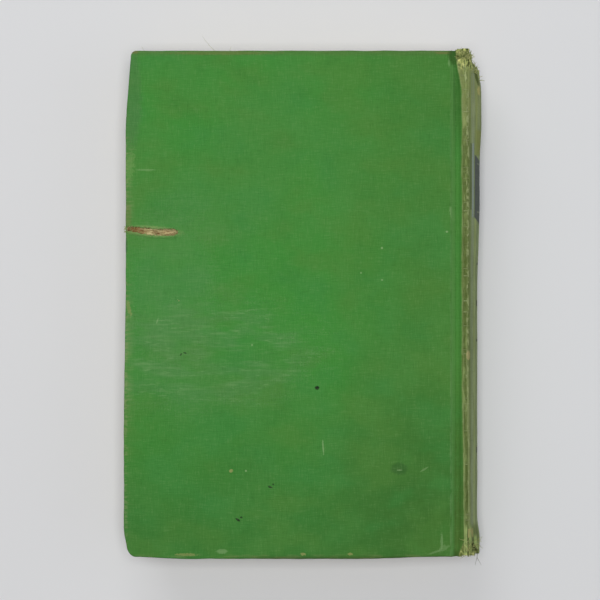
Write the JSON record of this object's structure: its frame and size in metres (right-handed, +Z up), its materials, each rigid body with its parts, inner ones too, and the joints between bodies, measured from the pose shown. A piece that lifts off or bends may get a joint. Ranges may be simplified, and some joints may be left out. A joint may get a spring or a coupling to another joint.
{
  "type": "hardback book",
  "caption": "Worn cloth-bound hardback with a rounded spine and French grooves, lying on its front cover; both covers open about the shoulders of the book block.",
  "frame": {"origin": "under the middle of the closed book, on the surface that it lies on", "axes": "+Y towards the head of the book, +X towards the spine, +Z up, from the front cover to the back cover"},
  "size_m": [0.1484, 0.21, 0.035],
  "materials": {
    "leaves": "matte",
    "endpaper": "matte",
    "lining_paper": "matte",
    "gauze": "matte",
    "board": "matte",
    "book_cloth": "matte"
  },
  "bodies": {
    "book_block": {"text_block": "leaves", "mull": "gauze", "spine_liner": "lining_paper", "spine_cloth": "book_cloth", "spine_inlay": "board", "front_flyleaf": "endpaper", "back_flyleaf": "endpaper"},
    "front_cover": {"front_board": "board", "front_cloth": "book_cloth", "front_mull_flange": "gauze", "front_pastedown": "endpaper"},
    "back_cover": {"back_board": "board", "back_cloth": "book_cloth", "back_mull_flange": "gauze", "back_pastedown": "endpaper"}
  },
  "joints": [
    {"name": "front_hinge", "type": "hinge", "parent": "book_block", "child": "front_cover", "pos_m": [0.0653, 0, 0.0009], "axis": [0, -1, 0], "range_deg": [0, 180]},
    {"name": "back_hinge", "type": "hinge", "parent": "book_block", "child": "back_cover", "pos_m": [0.0653, 0, 0.0341], "axis": [0, 1, 0], "range_deg": [0, 180]}
  ]
}
